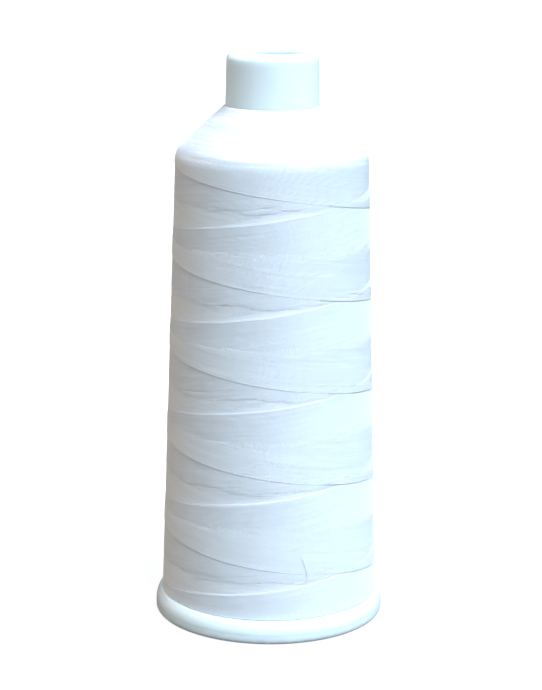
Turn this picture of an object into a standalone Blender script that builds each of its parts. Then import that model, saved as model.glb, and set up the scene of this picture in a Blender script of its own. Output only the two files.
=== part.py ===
"""A cone of sewing thread: a moulded plastic spool and the cross-wound body of thread on it.

Run it with: blender --background --python part.py
Lengths are in metres and +Z is up. The origin is the middle of the base, on the surface that
the cone stands on. The front of the cone faces -Y.
"""
import math

import bpy

# ---- Spool ----------------------------------------------------------------------------

TOTAL_HEIGHT = 0.1650          # base to the crown of the neck
WALL = 0.0016                  # thickness of the moulded plastic
THREAD_GAP = 0.0003            # clearance between the plastic and the thread

NECK_TOP_RADIUS = 0.01315      # outside of the bare neck, just under its rounded lip
NECK_BOTTOM_RADIUS = 0.01340   # outside of the neck where it goes into the thread
NECK_BOTTOM = 0.1498           # height where the neck goes into the thread
HOLE_RADIUS = 0.0082           # hole in the crown for a thread-stand pin
LIP_OUTER_ROUND = 0.0022       # rounding of the crown on its outside
LIP_INNER_ROUND = 0.0016       # rounding of the crown into the hole
CROWN_THICKNESS = 0.0024       # crown to the roof of the hollow

BARREL_BOTTOM_RADIUS = 0.0200  # outside of the tapered barrel, just above the flange
BARREL_FOOT_ROUND = 0.0025     # rounding from the barrel into the flange

FLANGE_RADIUS = 0.03358        # widest circle of the flange
FLANGE_TOP = 0.0066            # height of the plate that the thread stands on
FLANGE_FLARE_ROUND = 0.0070    # convex flare from the plate out to the rim
FLANGE_RIM_TOP = 0.0026        # height where the flare meets the upright rim
FLANGE_BOTTOM_ROUND = 0.0012   # rounding of the rim at the base
FOOT_WIDTH = 0.0018            # flat ring that the cone stands on

# ---- Thread ---------------------------------------------------------------------------

WINDING_BOTTOM_RADIUS = 0.0316  # outside of the thread at the flange
WINDING_TOP_RADIUS = 0.0275     # outside of the thread where the shoulder begins
SHOULDER_DROP = 0.91            # fall of the conical shoulder for each unit outwards
SHOULDER_ROUND = 0.0063         # rounding between the shoulder and the long taper

HELIX_PITCH = 0.0265            # height that a thread climbs in one turn of the cone
RISING_START = 0.1213           # height of the newest rising thread at the front
FALLING_START = 0.1273          # height of the newest falling thread at the front
TWIST_RELIEF = 0.00025          # step where a new band of thread starts over an old one
RELIEF_TOP = 0.1390             # the bands are gone above this height
RELIEF_FULL = 0.1340            # and they have their whole step below this one

# ---- Facets ---------------------------------------------------------------------------

SEGMENTS = 64                   # facets round each turned shape
TAPER_RINGS = 36                # rings up the long taper of the thread
ROUND_STEP = math.radians(15)   # bend between two facets of a rounding
SMOOTH_ANGLE = math.radians(35)  # edges that bend more than this stay crisp

# name: (colour, roughness)
FINISHES = {
    "spool_plastic": ((0.86, 0.89, 0.93, 1.0), 0.38),
    "thread": ((0.90, 0.91, 0.93, 1.0), 0.72),
}


def clear_scene():
    for obj in list(bpy.data.objects):
        bpy.data.objects.remove(obj, do_unlink=True)


def new_collection(name):
    collection = bpy.data.collections.new(name)
    bpy.context.scene.collection.children.link(collection)
    return collection


def finish(name):
    """A plain Principled material in the colour of one finish."""
    colour, roughness = FINISHES[name]
    material = bpy.data.materials.new(name)
    material.use_nodes = True
    shader = material.node_tree.nodes["Principled BSDF"]
    shader.inputs["Base Color"].default_value = colour
    shader.inputs["Roughness"].default_value = roughness
    shader.inputs["Metallic"].default_value = 0.0
    material.diffuse_color = colour
    return material


def arc(centre, radius, start, end):
    """Points (r, z) of an arc from angle start to angle end, in degrees from the +r direction."""
    start, end = math.radians(start), math.radians(end)
    steps = max(1, math.ceil(abs(end - start) / ROUND_STEP))
    points = []
    for i in range(steps + 1):
        angle = start + (end - start) * i / steps
        points.append((centre[0] + radius * math.cos(angle), centre[1] + radius * math.sin(angle)))
    return points


def barrel_radius(z):
    """Outside of the tapered barrel, which goes on from the neck down to the flange."""
    share = (NECK_BOTTOM - z) / (NECK_BOTTOM - FLANGE_TOP)
    return NECK_BOTTOM_RADIUS + share * (BARREL_BOTTOM_RADIUS - NECK_BOTTOM_RADIUS)


def spool_profile():
    """Section of the spool: down its outside, across the foot and up the hollow."""
    hole_round = (HOLE_RADIUS + LIP_INNER_ROUND, TOTAL_HEIGHT - LIP_INNER_ROUND)
    lip_round = (NECK_TOP_RADIUS - LIP_OUTER_ROUND, TOTAL_HEIGHT - LIP_OUTER_ROUND)
    neck = arc(hole_round, LIP_INNER_ROUND, 180, 90)
    neck += arc(lip_round, LIP_OUTER_ROUND, 90, 0)
    neck.append((NECK_BOTTOM_RADIUS, NECK_BOTTOM))

    foot_height = FLANGE_TOP + BARREL_FOOT_ROUND
    foot_centre = (barrel_radius(foot_height) + BARREL_FOOT_ROUND, foot_height)
    barrel = arc(foot_centre, BARREL_FOOT_ROUND, 180, 270)

    rise = math.degrees(math.asin((FLANGE_TOP - FLANGE_RIM_TOP) / FLANGE_FLARE_ROUND))
    flare_centre = (FLANGE_RADIUS - FLANGE_FLARE_ROUND, FLANGE_RIM_TOP)
    base_centre = (FLANGE_RADIUS - FLANGE_BOTTOM_ROUND, FLANGE_BOTTOM_ROUND)
    flange = arc(flare_centre, FLANGE_FLARE_ROUND, rise, 0)
    flange += arc(base_centre, FLANGE_BOTTOM_ROUND, 0, -90)

    foot_inside = base_centre[0] - FOOT_WIDTH
    plate_bottom = FLANGE_TOP - WALL
    underside = [(foot_inside, 0.0), (foot_inside, plate_bottom)]
    roof = TOTAL_HEIGHT - CROWN_THICKNESS
    hollow = [
        (barrel_radius(FLANGE_TOP) - WALL, plate_bottom),
        (NECK_BOTTOM_RADIUS - WALL, NECK_BOTTOM),
        (NECK_TOP_RADIUS - WALL, roof),
        (HOLE_RADIUS, roof),
    ]
    return neck + barrel + flange + underside + hollow


def shoulder_corner():
    """Corner (r, z) that the shoulder and the long taper would make without a rounding."""
    drop = SHOULDER_DROP * (WINDING_TOP_RADIUS - NECK_BOTTOM_RADIUS)
    return WINDING_TOP_RADIUS, NECK_BOTTOM - drop


def winding_radius(z):
    """Outside of the long taper of thread, without its bands."""
    bottom = FLANGE_TOP + THREAD_GAP
    share = (z - bottom) / (shoulder_corner()[1] - bottom)
    return WINDING_BOTTOM_RADIUS + share * (WINDING_TOP_RADIUS - WINDING_BOTTOM_RADIUS)


def winding_profile():
    """Section of the thread: down the shoulder and the taper, then up the barrel."""
    bottom = FLANGE_TOP + THREAD_GAP
    corner_r, corner_z = shoulder_corner()
    lean = math.degrees(math.atan((WINDING_BOTTOM_RADIUS - WINDING_TOP_RADIUS) / (corner_z - bottom)))
    cone_normal = 90 - math.degrees(math.atan(SHOULDER_DROP))
    bend = math.radians(cone_normal - lean)
    reach = SHOULDER_ROUND * math.tan(bend / 2)
    lean_angle = math.radians(lean)
    touch_r = corner_r + reach * math.sin(lean_angle)
    touch_z = corner_z - reach * math.cos(lean_angle)
    centre = (
        touch_r - SHOULDER_ROUND * math.cos(lean_angle),
        touch_z - SHOULDER_ROUND * math.sin(lean_angle),
    )
    inner_top = NECK_BOTTOM_RADIUS + THREAD_GAP
    tip = (inner_top, NECK_BOTTOM - SHOULDER_DROP * THREAD_GAP)
    shoulder_start = arc(centre, SHOULDER_ROUND, cone_normal, lean)
    cone_end = shoulder_start[0]
    halfway = ((tip[0] + cone_end[0]) / 2, (tip[1] + cone_end[1]) / 2)
    taper = []
    for i in range(1, TAPER_RINGS + 1):
        z = touch_z + (bottom - touch_z) * i / TAPER_RINGS
        taper.append((winding_radius(z), z))
    foot_height = FLANGE_TOP + BARREL_FOOT_ROUND
    foot_centre = (barrel_radius(foot_height) + BARREL_FOOT_ROUND, foot_height)
    inside = arc(foot_centre, BARREL_FOOT_ROUND - THREAD_GAP, 270, 180)
    return [tip, halfway] + shoulder_start + taper + inside


def turned(name, profile, collection):
    """A solid of revolution from a closed section of (r, z) points."""
    mesh = bpy.data.meshes.new(name)
    vertices = [(r, 0.0, z) for r, z in profile]
    edges = [(i, (i + 1) % len(profile)) for i in range(len(profile))]
    mesh.from_pydata(vertices, edges, [])
    obj = bpy.data.objects.new(name, mesh)
    collection.objects.link(obj)
    screw = obj.modifiers.new("Turn", "SCREW")
    screw.axis = "Z"
    screw.angle = math.tau
    screw.steps = SEGMENTS
    screw.render_steps = SEGMENTS
    screw.use_merge_vertices = True
    screw.merge_threshold = 0.00001
    screw.use_smooth_shade = True
    return obj


def applied(obj):
    """Make the modifiers of an object part of its mesh."""
    shown = obj.evaluated_get(bpy.context.evaluated_depsgraph_get())
    mesh = bpy.data.meshes.new_from_object(shown)
    plain = obj.data
    obj.modifiers.clear()
    obj.data = mesh
    bpy.data.meshes.remove(plain)
    mesh.name = obj.name


def band_height(angle, z):
    """Share of the full step, from -1 to 1, that the crossing bands add at one place.

    Each band is highest at its newest thread and sinks evenly towards its oldest one, which
    lies one pitch away, under the newest thread of the next turn.
    """
    climb = HELIX_PITCH * angle / math.tau
    rising_age = ((RISING_START + climb - z) / HELIX_PITCH) % 1.0
    falling_age = ((z - FALLING_START + climb) / HELIX_PITCH) % 1.0
    return 1.0 - rising_age - falling_age


def add_twists(obj):
    """Lift the outside of the thread in its crossing bands."""
    for vertex in obj.data.vertices:
        x, y, z = vertex.co
        radius = math.hypot(x, y)
        if radius < winding_radius(z) - SHOULDER_ROUND:
            continue
        fade = min(1.0, max(0.0, (RELIEF_TOP - z) / (RELIEF_TOP - RELIEF_FULL)))
        from_front = math.atan2(x, -y)
        lifted = radius + TWIST_RELIEF * fade * band_height(from_front, z)
        vertex.co.x *= lifted / radius
        vertex.co.y *= lifted / radius


def build_spool(collection):
    spool = turned("spool", spool_profile(), collection)
    applied(spool)
    spool.data.materials.append(finish("spool_plastic"))
    spool.data.shade_smooth()
    spool.data.set_sharp_from_angle(angle=SMOOTH_ANGLE)
    return spool


def build_winding(collection):
    winding = turned("winding", winding_profile(), collection)
    applied(winding)
    add_twists(winding)
    winding.data.materials.append(finish("thread"))
    winding.data.shade_smooth()
    winding.data.set_sharp_from_angle(angle=SMOOTH_ANGLE)
    return winding


def main():
    clear_scene()
    cone = new_collection("cone_of_thread")
    stand = bpy.data.objects.new("cone_origin", None)
    cone.objects.link(stand)
    for piece in (build_spool(cone), build_winding(cone)):
        piece.parent = stand


main()
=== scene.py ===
# %% [markdown]
# # A cone of sewing thread
# A tall cone of white thread is wound on a moulded plastic spool. The thread climbs to the top
# and comes back down again and again, so two families of turns cross each other all the way up.
# This lesson builds those turns as real geometry round a fixed CAD frame, then gives the thread
# and the plastic their finishes, and lights them softly on a pale floor.

# %% Load the frame
import math

import bpy
import numpy as np
from mathutils import Matrix, Vector


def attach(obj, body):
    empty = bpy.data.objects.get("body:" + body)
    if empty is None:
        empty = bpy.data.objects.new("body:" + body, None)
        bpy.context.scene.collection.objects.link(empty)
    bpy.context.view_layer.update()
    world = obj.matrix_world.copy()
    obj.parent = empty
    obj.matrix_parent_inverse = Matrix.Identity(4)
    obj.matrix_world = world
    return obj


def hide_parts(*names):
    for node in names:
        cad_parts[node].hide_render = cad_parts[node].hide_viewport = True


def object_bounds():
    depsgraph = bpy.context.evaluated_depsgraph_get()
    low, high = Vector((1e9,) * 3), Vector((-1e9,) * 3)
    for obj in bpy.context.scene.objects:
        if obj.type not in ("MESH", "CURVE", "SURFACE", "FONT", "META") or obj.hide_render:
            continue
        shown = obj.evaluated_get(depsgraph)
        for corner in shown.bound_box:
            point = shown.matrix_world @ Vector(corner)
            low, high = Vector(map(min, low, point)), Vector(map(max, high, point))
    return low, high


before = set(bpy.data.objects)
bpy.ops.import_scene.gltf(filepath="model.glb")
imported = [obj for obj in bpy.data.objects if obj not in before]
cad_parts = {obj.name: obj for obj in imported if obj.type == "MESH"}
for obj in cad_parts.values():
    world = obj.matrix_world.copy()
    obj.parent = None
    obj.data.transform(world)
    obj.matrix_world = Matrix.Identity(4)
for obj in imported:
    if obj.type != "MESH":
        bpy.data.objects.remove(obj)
cad_low, cad_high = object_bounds()
MM = 0.001
print("frame:", sorted(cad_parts), "height", round(cad_high.z / MM, 1), "mm")

# %% [markdown]
# ## The outline of the thread
# The outside of the wound body is a solid of revolution: a long taper, a rounded edge and a
# conical shoulder. Its radius at each height can be typed in again or read from the CAD solid.
# Reading it is better, because the fine turns then always lie on the solid that the physics
# uses. The bands of the solid average out round each ring of its points.

# %% Read the outline
INWARD_SLACK = 1.0 * MM    # the outside is never this much narrower than it was above


def rings_of(node):
    """Radius and height of every point of a node, and its heights from the top down."""
    points = np.array([v.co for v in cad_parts[node].data.vertices])
    heights = points[:, 2].round(6)
    return np.hypot(points[:, 0], points[:, 1]), heights, sorted(set(heights), reverse=True)


def outside_rings(node):
    """Mean radius and height of each ring on the outside of a node, from the top down."""
    radii, heights, levels = rings_of(node)
    rings, widest = [], 0.0
    for level in levels:
        here = radii[heights == level]
        here = here[here > widest - INWARD_SLACK]
        if len(here):
            rings.append((here.mean(), level))
            widest = max(widest, here.mean())
    return np.array(rings)


outline = outside_rings("winding")
outline_steps = np.hypot(*np.diff(outline, axis=0).T)
outline_way = np.concatenate([[0.0], np.cumsum(outline_steps)])
outline_end = float(outline_way[-1])
print(len(outline), "rings; way down the outside:", round(outline_end / MM, 1), "mm")

# %% [markdown]
# Straight lines between those rings would leave flat belts on the rounded edge. A monotone cubic
# through the same points is smooth there and still exactly straight along the taper.

# %% Smooth the outline
FINE_STEPS = 4000          # places where the height is known for looking up a way


def monotone_slopes(x, y):
    """Slopes of a cubic through (x, y) that never overshoots its points."""
    steps = np.diff(y) / np.diff(x)
    slopes = np.concatenate([[steps[0]], np.zeros(len(steps) - 1), [steps[-1]]])
    same_way = steps[:-1] * steps[1:] > 0
    mean = 2 * steps[:-1] * steps[1:] / np.where(same_way, steps[:-1] + steps[1:], 1)
    slopes[1:-1] = np.where(same_way, mean, 0)
    return slopes


def cubic(x, y, at):
    """Value and slope at each place of the monotone cubic through (x, y)."""
    slopes = monotone_slopes(x, y)
    i = np.clip(np.searchsorted(x, at, side="right") - 1, 0, len(x) - 2)
    width = x[i + 1] - x[i]
    t = (np.clip(at, x[0], x[-1]) - x[i]) / width
    rise = y[i + 1] - y[i]
    a = slopes[i] * width
    b = slopes[i + 1] * width
    value = y[i] + t * (a + t * ((3 * rise - 2 * a - b) + t * (a + b - 2 * rise)))
    slope = (a + t * (2 * (3 * rise - 2 * a - b) + 3 * t * (a + b - 2 * rise))) / width
    return value, slope


def outline_at(way):
    """Radius, height and outward normal of the outline, at a way down from its top."""
    radius, radius_slope = cubic(outline_way, outline[:, 0], way)
    height, height_slope = cubic(outline_way, outline[:, 1], way)
    size = np.hypot(radius_slope, height_slope)
    return radius, height, -height_slope / size, radius_slope / size


fine_way = np.linspace(0, outline_end, FINE_STEPS)
fine_height = outline_at(fine_way)[1]


def way_at(height):
    """Way down the outline to a height."""
    return np.interp(-height, -fine_height, fine_way)


def on_cone(angle, way, lift):
    """Points at an angle from the front and a way down the outline, lifted off it."""
    radius, height, out, up = outline_at(way)
    reach = radius + out * lift
    return np.stack([reach * np.sin(angle), -reach * np.cos(angle), height + up * lift], axis=-1)


print("radius half way up:", round(float(outline_at(way_at(0.07))[0]) / MM, 2), "mm")

# %% [markdown]
# ## How the thread crosses itself
# While the cone is wound, the thread climbs one pitch for each turn of the cone and then falls
# by the same pitch. Each new run lies beside the last one, so a family of rising turns slowly
# covers everything, with its newest turn as a step that climbs round the cone. The falling
# family does the same the other way. At any spot the younger of the two families is on top.
#
# The lines of the newest turns cross at two points in each pitch, and between those points the
# two families are equally young along level circles. So each circle carries one band of rising
# thread above it and one band of falling thread below it, and the turns of one band run like
# the mirror image of the other's.

# %% The rule of the winding
PITCH = 26.5 * MM               # climb in one turn of the cone
CROSSING_HEIGHT = 124.3 * MM    # a point where the newest turns cross
CROSSING_ANGLE = math.radians(41)  # its angle round from the front, towards +X
THREADS_PER_PITCH = 92          # turns side by side in one pitch
RISING_STEP = 0.02 * MM         # the newest rising turn stands this much over the older thread
FALLING_STEP = 0.15 * MM        # and the newest falling turn stands this much over it
COLUMNS = 144                   # places round the cone where a turn has points
thread_width = PITCH / THREADS_PER_PITCH
column_angle = math.tau / COLUMNS
print("thread", round(thread_width / MM, 3), "mm wide,", COLUMNS, "points a turn")

# %% [markdown]
# One turn of thread is narrow and round, but only its upper half shows. Three points across are
# enough for it: a valley, and the two edges of its crown. The valleys are kept sharp and the
# crown is smooth, so the light runs over each turn as it does over a real round thread.

# %% A turn's section
SECTION = ((0.0, 0.0), (0.27, 1.0), (0.73, 1.0))  # share of the width, share of the height
THREAD_HEIGHT = 0.110 * MM
ROWS_A_TURN = len(SECTION)


def section_rows(count):
    """For each row of a grid of turns: its turn, its line across them and its share of height."""
    rows = np.arange(count * ROWS_A_TURN + 1)
    share, crown = np.array(SECTION).T
    line = rows // ROWS_A_TURN + share[rows % ROWS_A_TURN]
    return np.minimum(rows // ROWS_A_TURN, count - 1), line, crown[rows % ROWS_A_TURN][:, None]


print("three turns have", len(section_rows(3)[0]), "rows")

# %% [markdown]
# No turn is quite straight, and neighbours lean on each other, so they stray together. The
# random numbers all start from a fixed seed, and every run gives the same cone.

# %% Small unevenness
SEED = 11


def drifting(count, reach, seed):
    """One random value for each turn, alike for neighbours, with a spread of one."""
    draw = np.random.default_rng(seed).normal(size=count + 2 * reach)
    window = np.hanning(2 * reach + 3)[1:-1]
    values = np.convolve(draw, window, mode="valid")
    return (values - values.mean()) / values.std()


def waves(lines, angles, reach, seed, orders=(1, 2, 3, 5, 8)):
    """Slow random waves along each turn, alike for neighbours, with a spread of one."""
    total = np.zeros((lines, len(angles)))
    for n, order in enumerate(orders):
        across = drifting(lines, reach, (*seed, n, 0))[:, None]
        along = drifting(lines, reach, (*seed, n, 1))[:, None]
        total += across * np.cos(order * angles) + along * np.sin(order * angles)
    return total / math.sqrt(len(orders))


def between(values, line):
    """Values given at whole turns, blended for the lines in between."""
    whole = line.astype(int)
    part = (line - whole)[:, None]
    return values[whole] * (1 - part) + values[whole + 1] * part


def smooth_step(low, high, value):
    """A soft ramp from 0 at low to 1 at high."""
    t = np.clip((value - low) / (high - low), 0, 1)
    return t * t * (3 - 2 * t)


print("unevenness of five turns:", drifting(5, 1, (4,)).round(2))

# %% [markdown]
# ## Grids of thread
# Turns side by side are a slanted grid of points: each row follows the thread, and each column
# is one angle round the cone. Blender could sweep a curve for each turn, but that would cost
# many times more faces for the hidden undersides. A grid shares its valleys and stays light.
#
# Each point also keeps its place on its own thread: how far along it lies, on which turn, and
# how light that turn is, with a painted sheen that makes falling turns lighter than rising ones.
# The finish uses it to run its fibres along the real thread.

# %% A grid of turns
CHART_EDGE = 0.02          # bare margin of each UV strip


def turns_grid(angle, way, lift, line, tone, keep, outward, shelf=(0, 1)):
    """Grid of some turns. Outward says that its rows go down the cone; shelf is its UV strip."""
    angle = np.broadcast_to(angle, way.shape)
    line = np.broadcast_to(line[:, None], way.shape)
    tone = np.broadcast_to(tone[:, None], way.shape)
    along = angle * outline[-1, 0] / MM
    place = np.stack([along, line, tone], axis=-1)
    low, high = angle.min(), angle.max()
    across = CHART_EDGE / 2 + (1 - CHART_EDGE) * (angle - low) / (high - low)
    up = (line - line.min()) / (line.max() - line.min())
    up = CHART_EDGE + (1 - 2 * CHART_EDGE) * up
    chart = np.stack([across, (shelf[0] + up) / shelf[1]], axis=-1)
    points = on_cone(angle, way, lift)
    return {"points": points, "place": place, "chart": chart, "keep": keep, "outward": outward}


def grid_faces(grid, first):
    """Quads of the kept cells of a grid whose points are numbered from first."""
    across = grid["points"].shape[1]
    i, j = np.nonzero(grid["keep"])
    right = (j + 1) % across
    corners = (i * across + j, i * across + right, (i + 1) * across + right, (i + 1) * across + j)
    quads = np.stack(corners, axis=1) + first
    return quads if grid["outward"] else quads[:, ::-1]


pitch_rows = len(section_rows(THREADS_PER_PITCH)[0])
print("a grid of one pitch of turns has", pitch_rows, "rows")

# %% [markdown]
# The quads of several grids go into one mesh with a few lines of numpy, which is far quicker
# than adding faces one by one. Row 0 of each grid is the tuck that closes its side, so the
# valleys are rows 1, 4, 7 and so on, and their edges are marked sharp.

# %% A mesh from grids
def flat(grids, key, size):
    """One property of all the points of some grids, in one list."""
    return np.concatenate([grid[key].reshape(-1, size) for grid in grids])


def as_thread(obj):
    """Make an object a piece of the wound thread."""
    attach(obj, "root")
    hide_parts("winding")
    return obj


def thread_object(name, grids):
    """One mesh object from several grids of turns."""
    faces, rows, first = [], [], 0
    for grid in grids:
        faces.append(grid_faces(grid, first))
        lines, across = grid["points"].shape[:2]
        rows.append(np.repeat(np.arange(lines) - 1, across))
        first += lines * across
    used, faces = np.unique(np.concatenate(faces), return_inverse=True)
    faces = faces.reshape(-1, 4)

    mesh = bpy.data.meshes.new(name)
    mesh.from_pydata(flat(grids, "points", 3)[used].tolist(), [], faces.tolist())
    mesh.shade_smooth()
    corner = np.zeros(len(mesh.loops), dtype=np.int32)
    mesh.loops.foreach_get("vertex_index", corner)
    chart = flat(grids, "chart", 2)[used][corner].astype(np.float32)
    mesh.uv_layers.new(name="OFBake").uv.foreach_set("vector", chart.ravel())
    place = flat(grids, "place", 3)[used].astype(np.float32)
    places = mesh.attributes.new("thread_place", "FLOAT_VECTOR", "POINT")
    places.data.foreach_set("vector", place.ravel())

    ends = np.zeros(len(mesh.edges) * 2, dtype=np.int32)
    mesh.edges.foreach_get("vertices", ends)
    ends = np.concatenate(rows)[used][ends.reshape(-1, 2)]
    valley = (ends[:, 0] == ends[:, 1]) & (ends[:, 0] % ROWS_A_TURN == 0)
    sharp = mesh.attributes.new("sharp_edge", "BOOLEAN", "EDGE")
    sharp.data.foreach_set("value", valley)
    obj = bpy.data.objects.new(name, mesh)
    bpy.context.collection.objects.link(obj)
    print(name, len(faces) * 2, "triangles")
    return as_thread(obj)


print("valleys are rows", list(range(1, 10, ROWS_A_TURN)), "and so on")

# %% [markdown]
# ## The rising and falling bands
# A row's age runs from 0 at the newest turn to 1 at the oldest. Along its row, a turn first comes
# out from under the other family, at the level circle, and at last goes under the newest turn of
# the other family. Real turns don't change places along one clean line: some stay on top a
# little longer than their neighbours. So each turn's age is shifted by a random amount before
# the two families are compared, and a turn that loses dives under the others.

# %% Which turn is on top
TURN_OVER = 0.050          # difference in age over which a turn dives under another
DIVE = 0.045 * MM          # how deep it dives
AGE_SPREAD = 0.030         # how unevenly the turns change places
FARTHEST = 0.40            # no turn stays on top longer than this difference in age
BAND_SEED = 50             # each band draws its own numbers, counted from here


def shifted_age(age, circle, rises):
    """Age with the random shift of its turn, blended between one turn and the next."""
    seed = (SEED, BAND_SEED + circle, int(rises), 7)
    shifts = AGE_SPREAD * drifting(THREADS_PER_PITCH + 1, 1, seed)
    turns = np.arange(THREADS_PER_PITCH + 1) / THREADS_PER_PITCH
    return age + np.interp(age, turns, np.clip(shifts, -FARTHEST / 4, FARTHEST / 4))


def height_lost(lead):
    """How deep a point lies under the other family, from how much younger it is."""
    return DIVE * np.clip(-lead / TURN_OVER, 0, 1)


print("ages 0 and 0.5 become", shifted_age(np.array([0, 0.5]), 0, True).round(3))

# %% [markdown]
# A band's height goes up with the angle and down with the age, or the other way for falling
# thread. Only the cells where the band is on top are kept, with a narrow edge under the others.

# %% One band
TUCK = 0.4                 # the closing row lies this many widths beside the first valley
WANDER = 0.15              # how far a turn strays sideways, in thread widths
JITTER = 0.007 * MM        # how much turns stand higher or lower than their neighbours
PAINTED_FAMILY_SHEEN = 1.8          # painted sheen: falling thread is painted lighter than rising thread
SLOPE_UP = 4.0             # the upper side of rising thread slopes over this many widths
TUCK_DEPTH = 0.01 * MM     # and ends this far under the thread beside it
FIRST_TURN = 0.45          # the newest rising turn is pressed flat: this share of the round
OVERLAP = 1.2              # columns that a turn goes on for under the newest turn over it
BAND_LOW = 7.3 * MM        # the bands end here, at the turns along the flange
BAND_HIGH = 138.2 * MM     # and here, under the turns of the shoulder


def any_corner(mask):
    """Cells of a grid with at least one corner in the mask."""
    return mask[:-1, :-1] | mask[1:, :-1] | mask[:-1, 1:] | mask[1:, 1:]


def with_tuck(rows, first):
    """Rows with the closing row put before them."""
    return np.concatenate([first, rows])


def band(circle, rises, shelf):
    """The band of rising or falling thread that starts at one level circle."""
    sign = 1 if rises else -1
    seed = (SEED, BAND_SEED + circle, int(rises))
    turn = np.arange(-round(FARTHEST / 2 * COLUMNS), COLUMNS + 3) * column_angle
    thread, line, crown = section_rows(THREADS_PER_PITCH)
    age = line[:, None] / THREADS_PER_PITCH
    other_age = turn / math.pi - age
    lead = shifted_age(other_age, circle, not rises) - shifted_age(age, circle, rises)

    sideways = waves(THREADS_PER_PITCH + 2, turn, 2, (*seed, 1))
    sideways[0] = 0
    stand = waves(THREADS_PER_PITCH + 1, turn, 0, (*seed, 2))[thread]
    height = CROSSING_HEIGHT - circle * PITCH / 2 + sign * PITCH * (turn / math.tau - age)
    height = height + WANDER * thread_width * between(sideways, line)
    step, beside, depth = FALLING_STEP, TUCK, THREAD_HEIGHT
    if rises:
        step, beside, depth = RISING_STEP, SLOPE_UP, TUCK_DEPTH
        crown = crown * np.where(thread == 0, FIRST_TURN, 1.0)[:, None]
    lift = step * (1 - turn / math.pi) - height_lost(lead)
    lift = lift + (THREAD_HEIGHT + JITTER * stand) * crown

    height = with_tuck(height, height[:1] + sign * beside * thread_width)
    lift = with_tuck(lift, lift[:1] - step - depth)
    lead = with_tuck(lead, lead[:1])
    age = with_tuck(age, age[:1])
    line = with_tuck(line, line[:1] - beside)
    tone = drifting(THREADS_PER_PITCH + 1, 1, (*seed, 9))[with_tuck(thread, thread[:1])]
    # painted sheen: the falling family is painted lighter and the rising family darker
    tone = tone - sign * PAINTED_FAMILY_SHEEN

    inside = (height > BAND_LOW) & (height < BAND_HIGH)
    covered = turn > math.pi * (1 + age) + OVERLAP * column_angle
    keep = any_corner(lead > -TURN_OVER) & any_corner(inside) & ~any_corner(covered)
    way = way_at(np.clip(height, BAND_LOW, BAND_HIGH))
    angle = CROSSING_ANGLE - circle * math.pi + turn
    return turns_grid(angle, way, lift, line, tone, keep, not rises, shelf)


print("the newest turns stand", [round(step / MM, 2) for step in (RISING_STEP, FALLING_STEP)], "mm over")

# %% [markdown]
# The level circles are half a pitch apart, from above the shoulder to below the flange. The
# bands are joined into a few meshes, so that no single piece grows too heavy.

# %% Lay all the bands
first_circle = math.floor((CROSSING_HEIGHT - BAND_HIGH) / (PITCH / 2)) - 1
last_circle = math.ceil((CROSSING_HEIGHT - BAND_LOW) / (PITCH / 2)) + 1
circles = list(range(first_circle, last_circle + 1))
middle = len(circles) // 2
parts = (("upper", circles[:middle]), ("lower", circles[middle:]))
thread_pieces = []
for family, rises in (("rising", True), ("falling", False)):
    for part, some in parts:
        bands = [band(c, rises, (n, len(some))) for n, c in enumerate(some)]
        thread_pieces.append(thread_object(f"{family}_thread_{part}", bands))

# %% [markdown]
# ## The turns at the ends
# At the top and the bottom of its run the thread turns back, and there it lies almost level.
# These turns cover the conical shoulder and edge the flange. They are level rings that stray
# slowly up and down together. The first rings rise gently out of the bands, and the last one
# goes on into the plastic, so there is no gap beside it.

# %% Level turns
RING_STRAY = 0.30 * MM     # how far the rings stray together
RING_FUZZ = 0.05 * MM      # how unevenly they come out of the bands
RING_JITTER = 0.007 * MM   # how much they stand higher or lower than their neighbours
TOGETHER = 12              # rings that stray together
SETTLED = 6                # the last rings, which stray less and less
# the first height, the way over which the rings rise, and their lift before and after it
SHOULDER_FROM, SHOULDER_RISE = 133.8 * MM, 3.4 * MM
SHOULDER_LIFTS = (-0.16 * MM, 0.15 * MM)
FOOT_FROM, FOOT_RISE = 10.4 * MM, 3.0 * MM
FOOT_LIFTS = (-0.14 * MM, 0.05 * MM)
# the last row ends this far in from the last ring, and this much higher
SHOULDER_END = (0.5 * MM, 0.25 * MM)
FOOT_END = (0.6 * MM, -0.6 * MM)
SHOULDER_SEED, FOOT_SEED = 501, 601


def level_turns(heights, lifts, rise_over, seed):
    """Rings of thread between two heights; they come up to their lift over some way."""
    way_from, way_to = (float(way_at(height)) for height in heights)
    run = abs(way_to - way_from)
    count = max(3, round(run / thread_width))
    angle = np.arange(COLUMNS) * column_angle
    thread, line, crown = section_rows(count)
    along = (line / count)[:, None]

    together = waves(count + 2, angle, TOGETHER, (*seed, 1), orders=(1, 2, 3, 4))
    alone = waves(count + 2, angle, 1, (*seed, 2))
    stray = between(RING_STRAY * together + WANDER * thread_width * alone, line)
    stray = stray * np.minimum(1, (1 - along) * count / SETTLED)
    way = way_from + (way_to - way_from) * along + stray
    stand = waves(count + 1, angle, 0, (*seed, 3))[thread]
    fuzz = waves(count + 1, angle, 1, (*seed, 5), orders=(2, 3, 5, 7))[thread]
    risen = smooth_step(0, rise_over / run, along)
    lift = lifts[0] + (lifts[1] - lifts[0]) * risen + RING_FUZZ * fuzz * (1 - risen)
    lift = lift + (THREAD_HEIGHT + RING_JITTER * stand) * crown

    way = with_tuck(way, way[:1] - np.sign(way_to - way_from) * TUCK * thread_width)
    lift = with_tuck(lift, lift[:1] - THREAD_HEIGHT)
    line = with_tuck(line, line[:1] - TUCK)
    tone = drifting(count + 1, 1, (*seed, 4))[with_tuck(thread, thread[:1])]
    keep = np.ones((len(line) - 1, COLUMNS), dtype=bool)
    return turns_grid(angle, way, lift, line, tone, keep, way_to > way_from)


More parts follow.
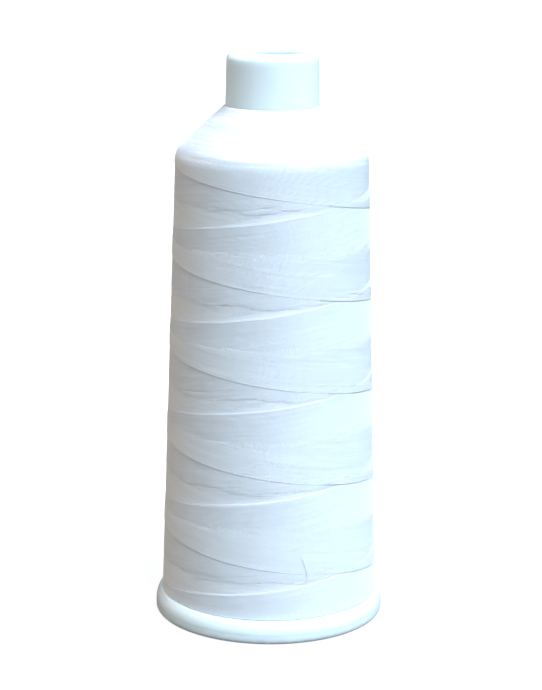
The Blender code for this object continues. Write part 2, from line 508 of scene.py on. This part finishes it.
def closed_at(grid, ring, end):
    """A grid of rings with one more row, which goes on to a circle inside the plastic."""
    radius, height = ring[0] - end[0], ring[1] + end[1]
    angle = np.arange(COLUMNS) * column_angle
    level = np.full(COLUMNS, height)
    row = np.stack([radius * np.sin(angle), -radius * np.cos(angle), level], axis=-1)
    grid["points"] = np.concatenate([grid["points"], row[None]])
    grid["place"] = np.concatenate([grid["place"], grid["place"][-1:]])
    last_chart = grid["chart"][-1:] + (0.0, 0.75 * CHART_EDGE)
    grid["chart"] = np.concatenate([grid["chart"], last_chart])
    grid["keep"] = np.concatenate([grid["keep"], grid["keep"][-1:]])
    return grid


shoulder_heights = (SHOULDER_FROM, outline[0, 1])
shoulder = level_turns(shoulder_heights, SHOULDER_LIFTS, SHOULDER_RISE, (SEED, SHOULDER_SEED))
shoulder = closed_at(shoulder, outline[0], SHOULDER_END)
thread_pieces.append(thread_object("shoulder_turns", [shoulder]))
foot_heights = (FOOT_FROM, outline[-1, 1])
foot = level_turns(foot_heights, FOOT_LIFTS, FOOT_RISE, (SEED, FOOT_SEED))
foot = closed_at(foot, outline[-1], FOOT_END)
thread_pieces.append(thread_object("foot_turns", [foot]))

# %% [markdown]
# ## The body under the turns
# The fine turns are a skin. A plain turned body just below them closes every small gap between
# two turns. It is one closed profile and a Screw modifier, the usual way to turn a solid.

# %% Turn a solid
SKIN = 0.40 * MM           # the body lies this far under the outline
ROUND_WAY = 22 * MM        # the rounded part of the outline ends this far down it
ROUND_POINTS = 14          # points of the section on that part
BORE_HEIGHT = 20 * MM      # the closed section follows the bore only below this height
BORE_SHARE = 0.8           # and the bore is narrower than this share of the outline's foot
BODY_STEPS = 96
WELD = 0.00001             # points closer than this are one point


def turned(name, profile, steps):
    """A solid of revolution from a closed section of (r, z) points."""
    mesh = bpy.data.meshes.new(name)
    edges = [(i, (i + 1) % len(profile)) for i in range(len(profile))]
    mesh.from_pydata([(r, 0.0, z) for r, z in profile], edges, [])
    obj = bpy.data.objects.new(name, mesh)
    bpy.context.collection.objects.link(obj)
    screw = obj.modifiers.new("Turn", "SCREW")
    screw.steps = screw.render_steps = steps
    screw.merge_threshold = WELD
    screw.use_merge_vertices = True
    screw.use_smooth_shade = True
    return obj


def body_section():
    """Section of the body: down its outside, and back along the bottom and the bore."""
    way = np.concatenate([np.linspace(0, ROUND_WAY, ROUND_POINTS), [outline_end]])
    radius, height, out, up = outline_at(way)
    outside = list(zip(radius - SKIN * out, height - SKIN * up))
    radii, heights, levels = rings_of("winding")
    low_levels = [level for level in reversed(levels) if level < BORE_HEIGHT]
    bore = [(radii[heights == level].min(), level) for level in low_levels]
    return outside + [(r, z) for r, z in bore if r < BORE_SHARE * outline[-1, 0]]


thread_body = as_thread(turned("thread_body", body_section(), BODY_STEPS))
thread_pieces.append(thread_body)
print("body section:", len(thread_body.data.vertices), "points")

# %% [markdown]
# ## The spool
# The spool is one moulding: a neck with a rounded lip and a hole for the pin of a thread stand,
# a tapered barrel inside the thread, and a flange. The flange flares out from the thread, turns
# into an upright rim at a faint line, and is rounded under. The CAD solid has this shape in a
# few flat rings. The same section with finer roundings catches the light smoothly.

# %% The spool's section
# All lengths of this section are in millimetres.
NECK_TOP, NECK_FOOT = (13.15, 165.0), (13.40, 149.8)   # radius and height
HOLE = 8.2                 # radius of the hole
LIP_OUTSIDE, LIP_INSIDE = 2.2, 1.6     # the two roundings of the lip
LIP_THICKNESS = 2.4
WALL = 1.6
BARREL_FOOT, BARREL_ROUND = 19.88, 2.5     # radius at its foot, and the rounding there
HOLLOW_FOOT = 18.4         # radius of the hollow at its foot
FLANGE, FLANGE_TOP = 33.58, 6.6        # its widest radius, and the height of its plate
FLARE_ROUND, RIM_TOP, RIM_ROUND = 7.0, 2.6, 1.2
# depth and drop of the two points of the faint line where the flare meets the rim
RIM_LINE = ((0.04, 0.05), (0.01, 0.22))
FOOT_INSIDE = 30.58        # radius inside the rim, under the flange
ARC_STEP = 5               # degrees between the points of an arc
SPOOL_STEPS = 160
CRISP_ANGLE = math.radians(50)         # corners sharper than this stay sharp


def arc(radius, height, size, start, end):
    """Points of an arc round a centre, between two angles in degrees from outwards."""
    steps = max(2, round(abs(end - start) / ARC_STEP))
    angles = np.radians(np.linspace(start, end, steps + 1))
    return [(radius + size * math.cos(a), height + size * math.sin(a)) for a in angles]


def spool_section():
    """Section of the spool: out of its hole, down its outside, and back up the hollow."""
    radius, top = NECK_TOP
    lip = arc(HOLE + LIP_INSIDE, top - LIP_INSIDE, LIP_INSIDE, 180, 90)
    lip += arc(radius - LIP_OUTSIDE, top - LIP_OUTSIDE, LIP_OUTSIDE, 90, 0)
    barrel = arc(BARREL_FOOT + BARREL_ROUND, FLANGE_TOP + BARREL_ROUND, BARREL_ROUND, 180, 270)
    rise = math.degrees(math.asin((FLANGE_TOP - RIM_TOP) / FLARE_ROUND))
    flare = arc(FLANGE - FLARE_ROUND, RIM_TOP, FLARE_ROUND, rise, 1)
    line = [(FLANGE - depth, RIM_TOP - drop) for depth, drop in RIM_LINE]
    rim = arc(FLANGE - RIM_ROUND, RIM_ROUND, RIM_ROUND, 0, -90)
    plate = FLANGE_TOP - WALL
    under = [(FOOT_INSIDE, 0.0), (FOOT_INSIDE, plate), (HOLLOW_FOOT, plate)]
    roof = top - LIP_THICKNESS
    hollow = [(NECK_FOOT[0] - WALL, NECK_FOOT[1]), (radius - WALL, roof), (HOLE, roof)]
    points = lip + [NECK_FOOT] + barrel + flare + line + rim + under + hollow
    return [(r * MM, z * MM) for r, z in points]


moulded_spool = turned("moulded_spool", spool_section(), SPOOL_STEPS)
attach(moulded_spool, "root")
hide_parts("spool")
crisp = moulded_spool.modifiers.new("Crisp corners", "EDGE_SPLIT")
crisp.split_angle = CRISP_ANGLE
print("spool section:", len(moulded_spool.data.vertices), "points")

# %% [markdown]
# ## A stray fibre
# One fine end has come loose low on the right of the front, and lies in a shallow arc on the
# turns. A curve with a round bevel is the simplest way to make a single fibre. It becomes a mesh
# at once, so that its size is measured like that of every other piece.

# %% Lay the fibre
FIBRE_RADIUS = 0.055 * MM
FIBRE_LIFT = 0.34 * MM     # its middle lies this far off the outline
FIBRE_ANGLES = (17.2, 18.6, 19.9, 20.3, 19.7, 17.7, 14.2)      # degrees from the front
FIBRE_HEIGHTS = (25.4, 23.2, 20.6, 18.8, 16.6, 14.5, 12.4)     # millimetres

fibre_curve = bpy.data.curves.new("stray_fibre", "CURVE")
fibre_curve.dimensions = "3D"
fibre_curve.bevel_depth = FIBRE_RADIUS
fibre_curve.bevel_resolution = 2
fibre_curve.resolution_u = 6
fibre_curve.use_fill_caps = True
fibre_spline = fibre_curve.splines.new("BEZIER")
fibre_spline.bezier_points.add(len(FIBRE_ANGLES) - 1)
for point, angle, height in zip(fibre_spline.bezier_points, FIBRE_ANGLES, FIBRE_HEIGHTS):
    point.co = on_cone(math.radians(angle), way_at(height * MM), FIBRE_LIFT)
    point.handle_left_type = point.handle_right_type = "AUTO"
fibre_route = bpy.data.objects.new("fibre_route", fibre_curve)
fibre_mesh = bpy.data.meshes.new_from_object(fibre_route)
bpy.data.objects.remove(fibre_route)
stray_fibre = bpy.data.objects.new("stray_fibre", fibre_mesh)
bpy.context.collection.objects.link(stray_fibre)
thread_pieces.append(as_thread(stray_fibre))
print("stray fibre in", len(fibre_mesh.polygons), "faces")

# %% [markdown]
# ## Finishes
# Both finishes need the same two things: a few lines of node code, and a slow, soft unevenness
# such as handling and light dust leave. The unevenness is one node group, and each material
# places it with its own size.

# %% A shared unevenness
def link(tree, a, b):
    """Connect an output to an input."""
    tree.links.new(a, b)


def math_node(tree, operation, a, b=0.0):
    """A Math node whose inputs are numbers or other nodes' outputs."""
    node = tree.nodes.new("ShaderNodeMath")
    node.operation = operation
    for socket, value in zip(node.inputs, (a, b)):
        if isinstance(value, (int, float)):
            socket.default_value = value
        else:
            link(tree, value, socket)
    return node.outputs[0]


def ramp(tree, value, low, high, start, end):
    """A value from low to high, turned into one from start to end."""
    node = tree.nodes.new("ShaderNodeMapRange")
    for name, number in zip(("From Min", "From Max", "To Min", "To Max"), (low, high, start, end)):
        node.inputs[name].default_value = number
    link(tree, value, node.inputs["Value"])
    return node.outputs[0]


def noise(tree, vector, scale, detail):
    """Fractal noise round 0.5."""
    node = tree.nodes.new("ShaderNodeTexNoise")
    node.inputs["Scale"].default_value = scale
    node.inputs["Detail"].default_value = detail
    link(tree, vector, node.inputs["Vector"])
    return node.outputs[0]


def new_group(name, inputs, outputs):
    """A shader node group with named inputs and outputs."""
    group = bpy.data.node_groups.new(name, "ShaderNodeTree")
    for way, sockets in (("INPUT", inputs), ("OUTPUT", outputs)):
        for label, kind, value in sockets:
            socket = group.interface.new_socket(label, in_out=way, socket_type=kind)
            if value is not None:
                socket.default_value = value
    return group, group.nodes.new("NodeGroupInput"), group.nodes.new("NodeGroupOutput")


def handling_group():
    """Slow cloudy patches, as handling and a little dust leave them: a mask from 0 to 1."""
    group, come, go = new_group(
        "light_handling",
        (("Vector", "NodeSocketVector", None), ("Patch Size", "NodeSocketFloat", 0.02)),
        (("Mask", "NodeSocketFloat", None),),
    )
    size = math_node(group, "DIVIDE", 1.0, come.outputs["Patch Size"])
    scaled = group.nodes.new("ShaderNodeVectorMath")
    scaled.operation = "SCALE"
    link(group, come.outputs["Vector"], scaled.inputs[0])
    link(group, size, scaled.inputs["Scale"])
    cloud = noise(group, scaled.outputs[0], 1.0, 3.0)
    link(group, ramp(group, cloud, 0.38, 0.66, 0.0, 1.0), go.inputs["Mask"])
    return group


light_handling = handling_group()


def placed(tree, group):
    """A group placed in a material."""
    node = tree.nodes.new("ShaderNodeGroup")
    node.node_tree = group
    return node


def mixed(tree, factor, a, b):
    """A colour between two colours."""
    node = tree.nodes.new("ShaderNodeMix")
    node.data_type = "RGBA"
    for name, colour in (("A", a), ("B", b)):
        if isinstance(colour, tuple):
            node.inputs[name].default_value = (*colour, 1)
        else:
            link(tree, colour, node.inputs[name])
    link(tree, factor, node.inputs["Factor"])
    return node.outputs["Result"]


def new_material(name):
    """A new material with its node tree and its main shader."""
    material = bpy.data.materials.new(name)
    material.use_nodes = True
    tree = material.node_tree
    return material, tree, tree.nodes["Principled BSDF"]


print("shared group:", [item.name for item in light_handling.interface.items_tree])

# %% [markdown]
# White sewing thread is plied: its fibres wind round it in a fine twist, and each turn keeps a
# slightly different lightness along its run. A picture of threads would need a UV map that
# follows every turn. Here each point knows its place on its own thread, so simple waves and a
# stretched noise in that place run along the real turns.

# %% Thread finish
THREAD_SHADE = (0.76, 0.80, 0.84)
THREAD_LIGHT = (0.84, 0.88, 0.92)
THREAD_SOILED = (0.78, 0.815, 0.845)
THREAD_PATCH = 0.018       # size of its cloudy patches, in metres
LIGHTNESS = 1.2            # the lightness runs from minus this to plus this
STREAKS = 3.0              # share of the streaks in the lightness
STREAK_ACROSS = 0.55       # how fast the streaks change from turn to turn
TONE_AND_SHEEN_SHARE = 0.25            # share of each turn's own tone, which carries its family's painted sheen
SOILING = 0.3              # share of the soiled colour in the thickest patches


def twist_group():
    """Twisted plies along a turn: a lightness round 0 and a height, from a place on the thread."""
    group, come, go = new_group(
        "twisted_fibre",
        (
            ("Place", "NodeSocketVector", None),
            ("Twist Length", "NodeSocketFloat", 0.9),
            ("Streak Length", "NodeSocketFloat", 24.0),
        ),
        (("Lightness", "NodeSocketFloat", None), ("Height", "NodeSocketFloat", None)),
    )
    split = group.nodes.new("ShaderNodeSeparateXYZ")
    link(group, come.outputs["Place"], split.inputs[0])
    turns = math_node(group, "DIVIDE", split.outputs["X"], come.outputs["Twist Length"])
    slant = math_node(group, "ADD", turns, split.outputs["Y"])
    wave = math_node(group, "SINE", math_node(group, "MULTIPLY", slant, math.tau))
    link(group, math_node(group, "MULTIPLY", wave, 0.5), go.inputs["Height"])

    streak = group.nodes.new("ShaderNodeCombineXYZ")
    run = math_node(group, "DIVIDE", split.outputs["X"], come.outputs["Streak Length"])
    link(group, run, streak.inputs["X"])
    across = math_node(group, "MULTIPLY", split.outputs["Y"], STREAK_ACROSS)
    link(group, across, streak.inputs["Y"])
    soft = math_node(group, "SUBTRACT", noise(group, streak.outputs[0], 1.0, 4.0), 0.5)
    # each turn's tone, with the painted sheen of its family
    own = math_node(group, "MULTIPLY", split.outputs["Z"], TONE_AND_SHEEN_SHARE)
    streaks = math_node(group, "MULTIPLY", soft, STREAKS)
    link(group, math_node(group, "ADD", streaks, own), go.inputs["Lightness"])
    return group


def thread_material():
    """White plied thread: silky, a little uneven, with a fine twist."""
    material, tree, shader = new_material("white_thread")
    place = tree.nodes.new("ShaderNodeAttribute")
    place.attribute_name = "thread_place"
    fibre = placed(tree, twist_group())
    link(tree, place.outputs["Vector"], fibre.inputs["Place"])
    where = tree.nodes.new("ShaderNodeTexCoord")
    handled = placed(tree, light_handling)
    handled.inputs["Patch Size"].default_value = THREAD_PATCH
    link(tree, where.outputs["Object"], handled.inputs["Vector"])

    lightness = fibre.outputs["Lightness"]
    share = ramp(tree, lightness, -LIGHTNESS, LIGHTNESS, 0.0, 1.0)
    clean = mixed(tree, share, THREAD_SHADE, THREAD_LIGHT)
    soiling = math_node(tree, "MULTIPLY", handled.outputs["Mask"], SOILING)
    link(tree, mixed(tree, soiling, clean, THREAD_SOILED), shader.inputs["Base Color"])
    roughness = ramp(tree, lightness, -LIGHTNESS, LIGHTNESS, 0.62, 0.48)
    link(tree, roughness, shader.inputs["Roughness"])
    bump = tree.nodes.new("ShaderNodeBump")
    bump.inputs["Strength"].default_value = 0.3
    bump.inputs["Distance"].default_value = 0.02 * MM
    link(tree, fibre.outputs["Height"], bump.inputs["Height"])
    link(tree, bump.outputs[0], shader.inputs["Normal"])
    shader.inputs["Sheen Weight"].default_value = 0.15
    shader.inputs["Sheen Roughness"].default_value = 0.5
    return material


white_thread = thread_material()
for piece in thread_pieces:
    piece.data.materials.clear()
    piece.data.materials.append(white_thread)
print("thread finish on", len(thread_pieces), "pieces")

# %% [markdown]
# The spool is moulded in white plastic. Moulding leaves it smooth but not a mirror: the gloss
# changes slowly over it, a fine grain breaks up the highlights, and the bottom edge of the foot
# is greyer and rougher in patches. Painted shade darkens the hole. White plastic lets a little
# light through, so its shaded side stays pale.

# %% Plastic finish
PLASTIC_LIGHT = (0.80, 0.94, 1.0)
PLASTIC_SHADE = (0.78, 0.92, 1.0)
# painted shade: the inside of the hole is painted this darker colour
PLASTIC_HOLE_SHADE = (0.56, 0.68, 0.74)
# the bottom edge of the foot is greyer, in patches
PLASTIC_FOOT_GREY = (0.66, 0.67, 0.66)
PLASTIC_PATCH = 0.012      # size of its cloudy patches, in metres
FOOT_GREY_FROM, FOOT_GREY_TO = 0.3 * MM, 2.2 * MM    # heights where the greyer bottom edge fades out
HOLE_SHADE_FROM, HOLE_SHADE_TO = 8.25 * MM, 8.9 * MM     # radii where the painted shade in the hole fades out
FOOT_GREY_GRAIN, FINE_GRAIN = 420, 1400             # noise scales of the greyer bottom edge and the moulding


def plastic_material():
    """White moulded plastic, a little translucent."""
    material, tree, shader = new_material("white_plastic")
    where = tree.nodes.new("ShaderNodeTexCoord")
    vector = where.outputs["Object"]
    handled = placed(tree, light_handling)
    handled.inputs["Patch Size"].default_value = PLASTIC_PATCH
    link(tree, vector, handled.inputs["Vector"])
    split = tree.nodes.new("ShaderNodeSeparateXYZ")
    link(tree, vector, split.inputs[0])
    # greyer and rougher towards the bottom edge, in patches
    at_foot = ramp(tree, split.outputs["Z"], FOOT_GREY_FROM, FOOT_GREY_TO, 1.0, 0.0)
    foot_grey_patches = ramp(tree, noise(tree, vector, FOOT_GREY_GRAIN, 3), 0.35, 0.7, 0.2, 1.0)
    foot_grey = math_node(tree, "MULTIPLY", at_foot, foot_grey_patches)

    across = math_node(tree, "MULTIPLY", split.outputs["X"], split.outputs["X"])
    deep = math_node(tree, "MULTIPLY", split.outputs["Y"], split.outputs["Y"])
    radius = math_node(tree, "SQRT", math_node(tree, "ADD", across, deep))
    # painted shade: the plastic is painted darker inside the hole
    in_hole = ramp(tree, radius, HOLE_SHADE_FROM, HOLE_SHADE_TO, 1.0, 0.0)

    clean = mixed(tree, handled.outputs["Mask"], PLASTIC_LIGHT, PLASTIC_SHADE)
    hole_shaded = mixed(tree, in_hole, clean, PLASTIC_HOLE_SHADE)
    link(tree, mixed(tree, foot_grey, hole_shaded, PLASTIC_FOOT_GREY), shader.inputs["Base Color"])
    gloss = math_node(tree, "MULTIPLY_ADD", handled.outputs["Mask"], 0.08)
    gloss.node.inputs[2].default_value = 0.30
    dull = math_node(tree, "MULTIPLY", foot_grey, 0.2)
    link(tree, math_node(tree, "ADD", gloss, dull), shader.inputs["Roughness"])
    grain = tree.nodes.new("ShaderNodeBump")
    grain.inputs["Strength"].default_value = 0.12
    grain.inputs["Distance"].default_value = 0.03 * MM
    link(tree, noise(tree, vector, FINE_GRAIN, 2), grain.inputs["Height"])
    link(tree, grain.outputs[0], shader.inputs["Normal"])
    shader.inputs["IOR"].default_value = 1.49
    shader.inputs["Subsurface Weight"].default_value = 0.8
    shader.inputs["Subsurface Radius"].default_value = (0.8, 0.9, 1.0)
    shader.inputs["Subsurface Scale"].default_value = 5.0 * MM
    return material


moulded_spool.data.materials.append(plastic_material())
print("plastic finish on", moulded_spool.name)

# %% [markdown]
# ## The floor
# The floor is plain and nearly white. Towards the camera it gives most of its light by itself, so
# it stays even, but towards the object it is a duller surface. A bright floor would light the
# thread from below and flatten every turn.

# %% Floor
FLOOR_SIZE = 30            # metres
FLOOR_GAP = 0.05 * MM      # it lies this far under the object
FLOOR_GLOW = 0.86          # its own light, as the camera sees it
FLOOR_TO_CAMERA = 0.20     # and its grey for the lamps' light there
FLOOR_TO_OBJECT = 0.16     # its grey for the light that it sends to the object


def floor():
    """The pale floor, staged so that it isn't part of the object."""
    bpy.ops.mesh.primitive_plane_add(size=FLOOR_SIZE)
    obj = bpy.context.object
    obj.name = "pale_floor"
    obj.location.z = cad_low.z - FLOOR_GAP
    material, tree, shader = new_material("pale_floor")
    ray = tree.nodes.new("ShaderNodeLightPath").outputs["Is Camera Ray"]
    grey = tree.nodes.new("ShaderNodeCombineColor")
    for channel in grey.inputs:
        link(tree, ramp(tree, ray, 0.0, 1.0, FLOOR_TO_OBJECT, FLOOR_TO_CAMERA), channel)
    link(tree, grey.outputs[0], shader.inputs["Base Color"])
    shader.inputs["Roughness"].default_value = 0.9
    shader.inputs["Emission Color"].default_value = (1, 1, 1, 1)
    link(tree, math_node(tree, "MULTIPLY", ray, FLOOR_GLOW), shader.inputs["Emission Strength"])
    obj.data.materials.append(material)
    return obj


print("floor", round(floor().dimensions.x), "m wide")

# %% [markdown]
# ## The light
# A large soft lamp stands high in front on the right. A weak blue one hangs overhead, and a weak
# warm one stands low behind on the left. The room gives the rest: a dim warm light that fades out
# towards the right, and a paler one that grows from the level of the floor to overhead. So the
# shoulder is the whitest place and the left side turns a warm grey.

# %% Lamps and room
# name, power, azimuth, elevation and width in degrees, and colour
LAMPS = (
    ("key_light", 7.0, 43, 61, 26, (0.67, 0.83, 1.0)),
    ("top_light", 1.2, 0, 90, 30, (0.30, 0.45, 1.0)),
    ("back_light", 0.45, -110, 25, 60, (1.0, 0.62, 0.27)),
)
ROOM_LEFT = (0.19, 0.11, 0.11)
ROOM_ABOVE = (0.50, 0.55, 0.34)
BLACK = (0.0, 0.0, 0.0)


def sun(name, power, azimuth, elevation, width, colour):
    """A soft lamp far away: azimuth 0 is the camera's side and 90 is the right."""
    lamp = bpy.data.lights.new(name, "SUN")
    lamp.energy = power
    lamp.angle = math.radians(width)
    lamp.color = colour
    obj = bpy.data.objects.new(name, lamp)
    bpy.context.collection.objects.link(obj)
    a, e = math.radians(azimuth), math.radians(elevation)
    source = Vector((math.sin(a) * math.cos(e), -math.cos(a) * math.cos(e), math.sin(e)))
    obj.rotation_mode = "QUATERNION"
    obj.rotation_quaternion = source.to_track_quat("Z", "Y")


def soft_room():
    """Light from all round: one part changes from left to right, one from low to high."""
    world = bpy.data.worlds.new("soft_room")
    bpy.context.scene.world = world
    world.use_nodes = True
    tree = world.node_tree
    where = tree.nodes.new("ShaderNodeTexCoord")
    split = tree.nodes.new("ShaderNodeSeparateXYZ")
    link(tree, where.outputs["Generated"], split.inputs[0])
    rightness = ramp(tree, split.outputs["X"], -1.0, 1.0, 0.0, 1.0)
    sides = mixed(tree, rightness, ROOM_LEFT, BLACK)
    loftiness = ramp(tree, split.outputs["Z"], 0.0, 1.0, 0.0, 1.0)
    above = mixed(tree, loftiness, BLACK, ROOM_ABOVE)
    both = tree.nodes.new("ShaderNodeMix")
    both.data_type = "RGBA"
    both.blend_type = "ADD"
    both.inputs["Factor"].default_value = 1.0
    link(tree, sides, both.inputs["A"])
    link(tree, above, both.inputs["B"])
    link(tree, both.outputs["Result"], tree.nodes["Background"].inputs["Color"])


soft_room()
for lamp in LAMPS:
    sun(*lamp)
bpy.context.scene.view_settings.view_transform = "Standard"

# %% [markdown]
# ## The camera
# The camera looks slightly down from a little above the neck, through a long lens, so the cone
# keeps its true slender shape and the round of the flange just opens.

# %% Camera
CAMERA_PLACE = (0.1 * MM, -586.1 * MM, 219.3 * MM)
CAMERA_TILT = 13.38        # degrees down from level
CAMERA_ROLL = 0.45         # degrees
CAMERA_LENS = 107.9        # millimetres
SENSOR_WIDTH = 36          # millimetres

camera_data = bpy.data.cameras.new("camera")
camera_data.sensor_width = SENSOR_WIDTH
camera_data.lens = CAMERA_LENS
camera = bpy.data.objects.new("camera", camera_data)
bpy.context.collection.objects.link(camera)
look = Matrix.Rotation(math.radians(90 - CAMERA_TILT), 4, "X")
roll = Matrix.Rotation(math.radians(CAMERA_ROLL), 4, "Z")
camera.matrix_world = Matrix.Translation(CAMERA_PLACE) @ look @ roll
bpy.context.scene.camera = camera
print("camera", round(camera.location.length / MM), "mm from the base")
